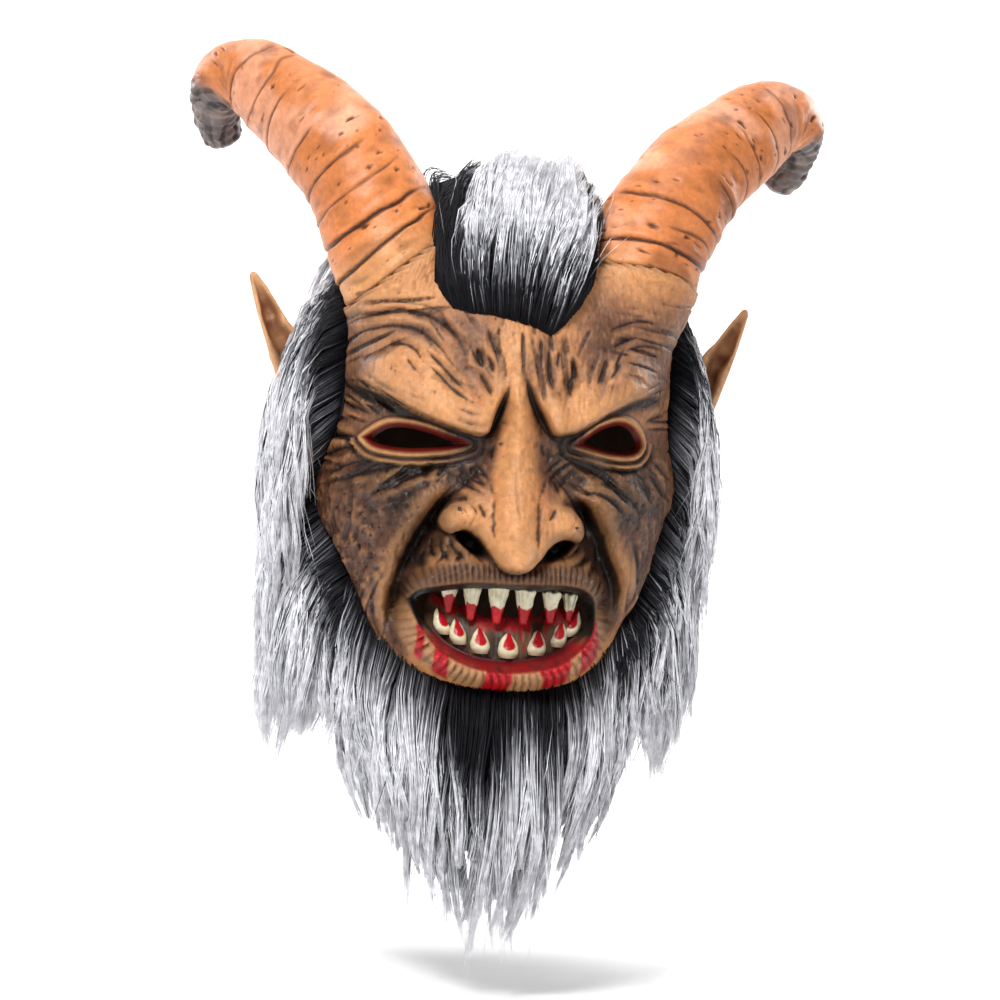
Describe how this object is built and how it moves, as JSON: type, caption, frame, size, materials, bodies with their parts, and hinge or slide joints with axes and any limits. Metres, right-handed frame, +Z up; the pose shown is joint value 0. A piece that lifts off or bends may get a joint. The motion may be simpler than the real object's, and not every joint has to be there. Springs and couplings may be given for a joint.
{
  "type": "horned devil mask",
  "caption": "Over-the-head latex devil mask with scowling face, toothed open mouth, curled ram horns, pointed ears, long pile fur and a beard that swings from the chin.",
  "frame": {"origin": "inside the head, midway between the ears at the height of the eye holes", "axes": "+Z up to the crown and horns, -Y the way the face looks, +X to the right as seen from the front"},
  "size_m": [0.3058, 0.2402, 0.4096],
  "materials": {
    "painted_latex_skin": "satin painted latex, tan with dark brown washes in the creases",
    "latex_hood": "matte bare latex",
    "painted_gums": "satin painted latex with red at the tooth roots",
    "painted_teeth": "satin, cream with red lower halves",
    "painted_latex_horn": "satin painted latex, orange with brown stains and dark grey tips",
    "foam": "open-cell foam",
    "woven_backing": "black knitted backing",
    "pile_fur": "long black pile with silver-white tips"
  },
  "bodies": {
    "mask": {"face_skin": "painted_latex_skin", "hood": "latex_hood", "upper_gum": "painted_gums", "lower_gum": "painted_gums", "upper_tooth_1": "painted_teeth", "upper_tooth_2": "painted_teeth", "upper_tooth_3": "painted_teeth", "upper_tooth_4": "painted_teeth", "upper_tooth_5": "painted_teeth", "upper_tooth_6": "painted_teeth", "lower_tooth_1": "painted_teeth", "lower_tooth_2": "painted_teeth", "lower_tooth_3": "painted_teeth", "lower_tooth_4": "painted_teeth", "lower_tooth_5": "painted_teeth", "lower_tooth_6": "painted_teeth", "lower_tooth_7": "painted_teeth", "left_horn_shell": "painted_latex_horn", "right_horn_shell": "painted_latex_horn", "left_horn_core": "foam", "right_horn_core": "foam", "left_ear": "painted_latex_skin", "right_ear": "painted_latex_skin", "crown_fur": "pile_fur", "left_side_fur": "pile_fur", "right_side_fur": "pile_fur", "back_fur": "pile_fur", "beard_strip": "woven_backing"},
    "beard": {"beard_fur": "pile_fur"}
  },
  "joints": [
    {"name": "beard_swing", "type": "hinge", "parent": "mask", "child": "beard", "pos_m": [0, -0.084, -0.12], "axis": [-1, 0, 0], "range_deg": [-6, 35]}
  ]
}
